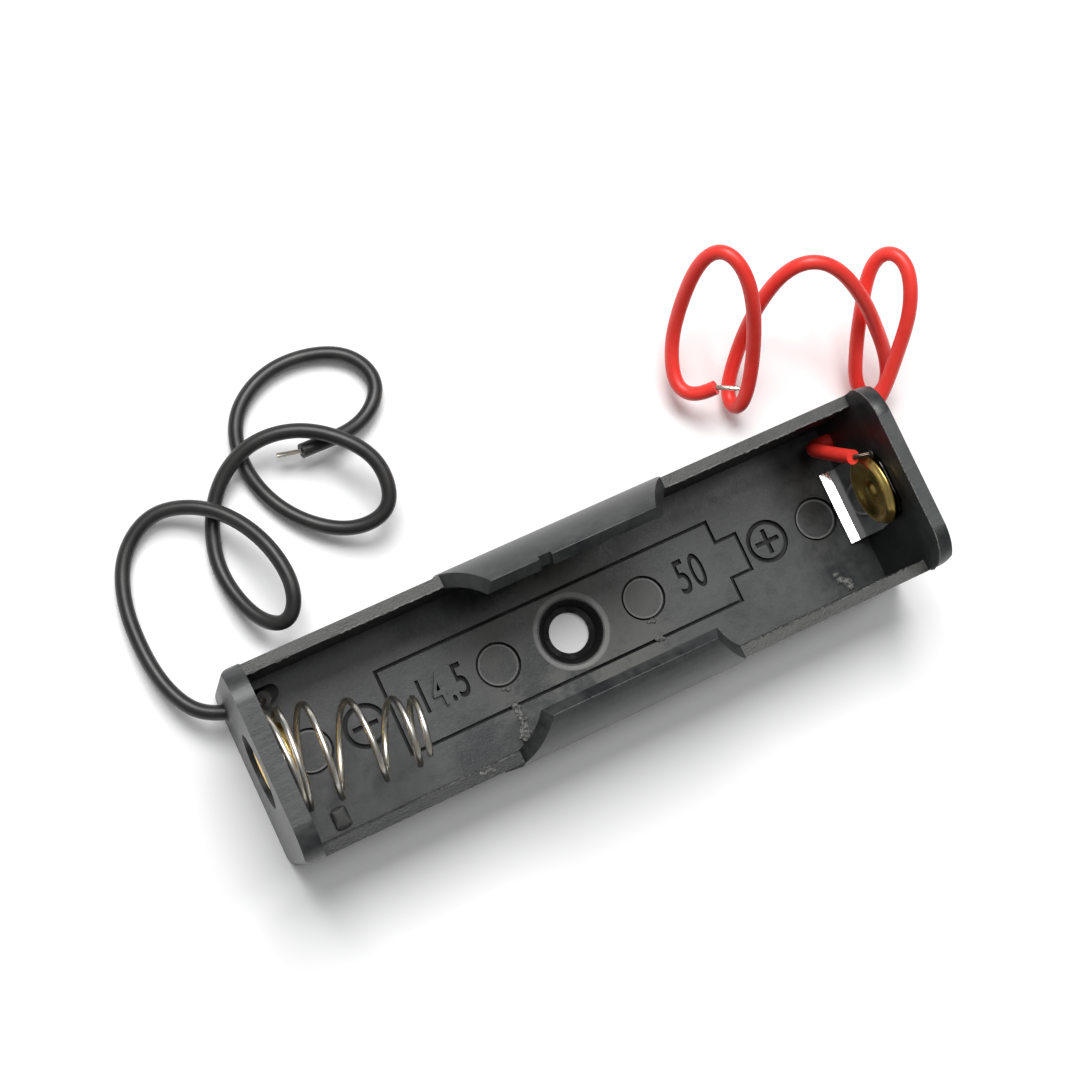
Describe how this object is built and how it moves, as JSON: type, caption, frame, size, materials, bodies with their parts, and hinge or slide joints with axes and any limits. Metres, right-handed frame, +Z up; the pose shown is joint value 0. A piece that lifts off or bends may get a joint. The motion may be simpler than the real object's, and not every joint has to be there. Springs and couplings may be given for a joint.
{
  "type": "cylindrical cell holder",
  "caption": "Open moulded tray that grips a cylindrical cell under two curved wings, with a conical spring, a dished rivet and soldered red and black leads.",
  "frame": {"origin": "on the underside of the tray, at the axis of the screw hole", "axes": "+X along the tray toward the positive end, +Y across the tray toward the lead holes' side, +Z up out of the open bay"},
  "size_m": [0.0739, 0.0406, 0.015],
  "materials": {
    "tray_plastic": "black injection-moulded plastic, satin with a faint sheen",
    "rivet_brass": "bright pressed brass",
    "lug_nickel": "bright nickel-plated strip",
    "solder": "dull bright solder",
    "red_insulation": "soft red insulation, satin",
    "black_insulation": "soft black insulation, satin",
    "tinned_strands": "tinned copper strands",
    "spring_wire": "nickel-plated spring steel wire"
  },
  "bodies": {
    "root": {"tray": "tray_plastic", "positive_rivet": "rivet_brass", "solder_lug": "lug_nickel", "positive_solder": "solder", "red_lead": "red_insulation", "red_strands": "tinned_strands", "negative_rivet": "rivet_brass", "spring": "spring_wire", "negative_solder": "solder", "black_lead": "black_insulation", "black_strands": "tinned_strands"}
  },
  "joints": []
}
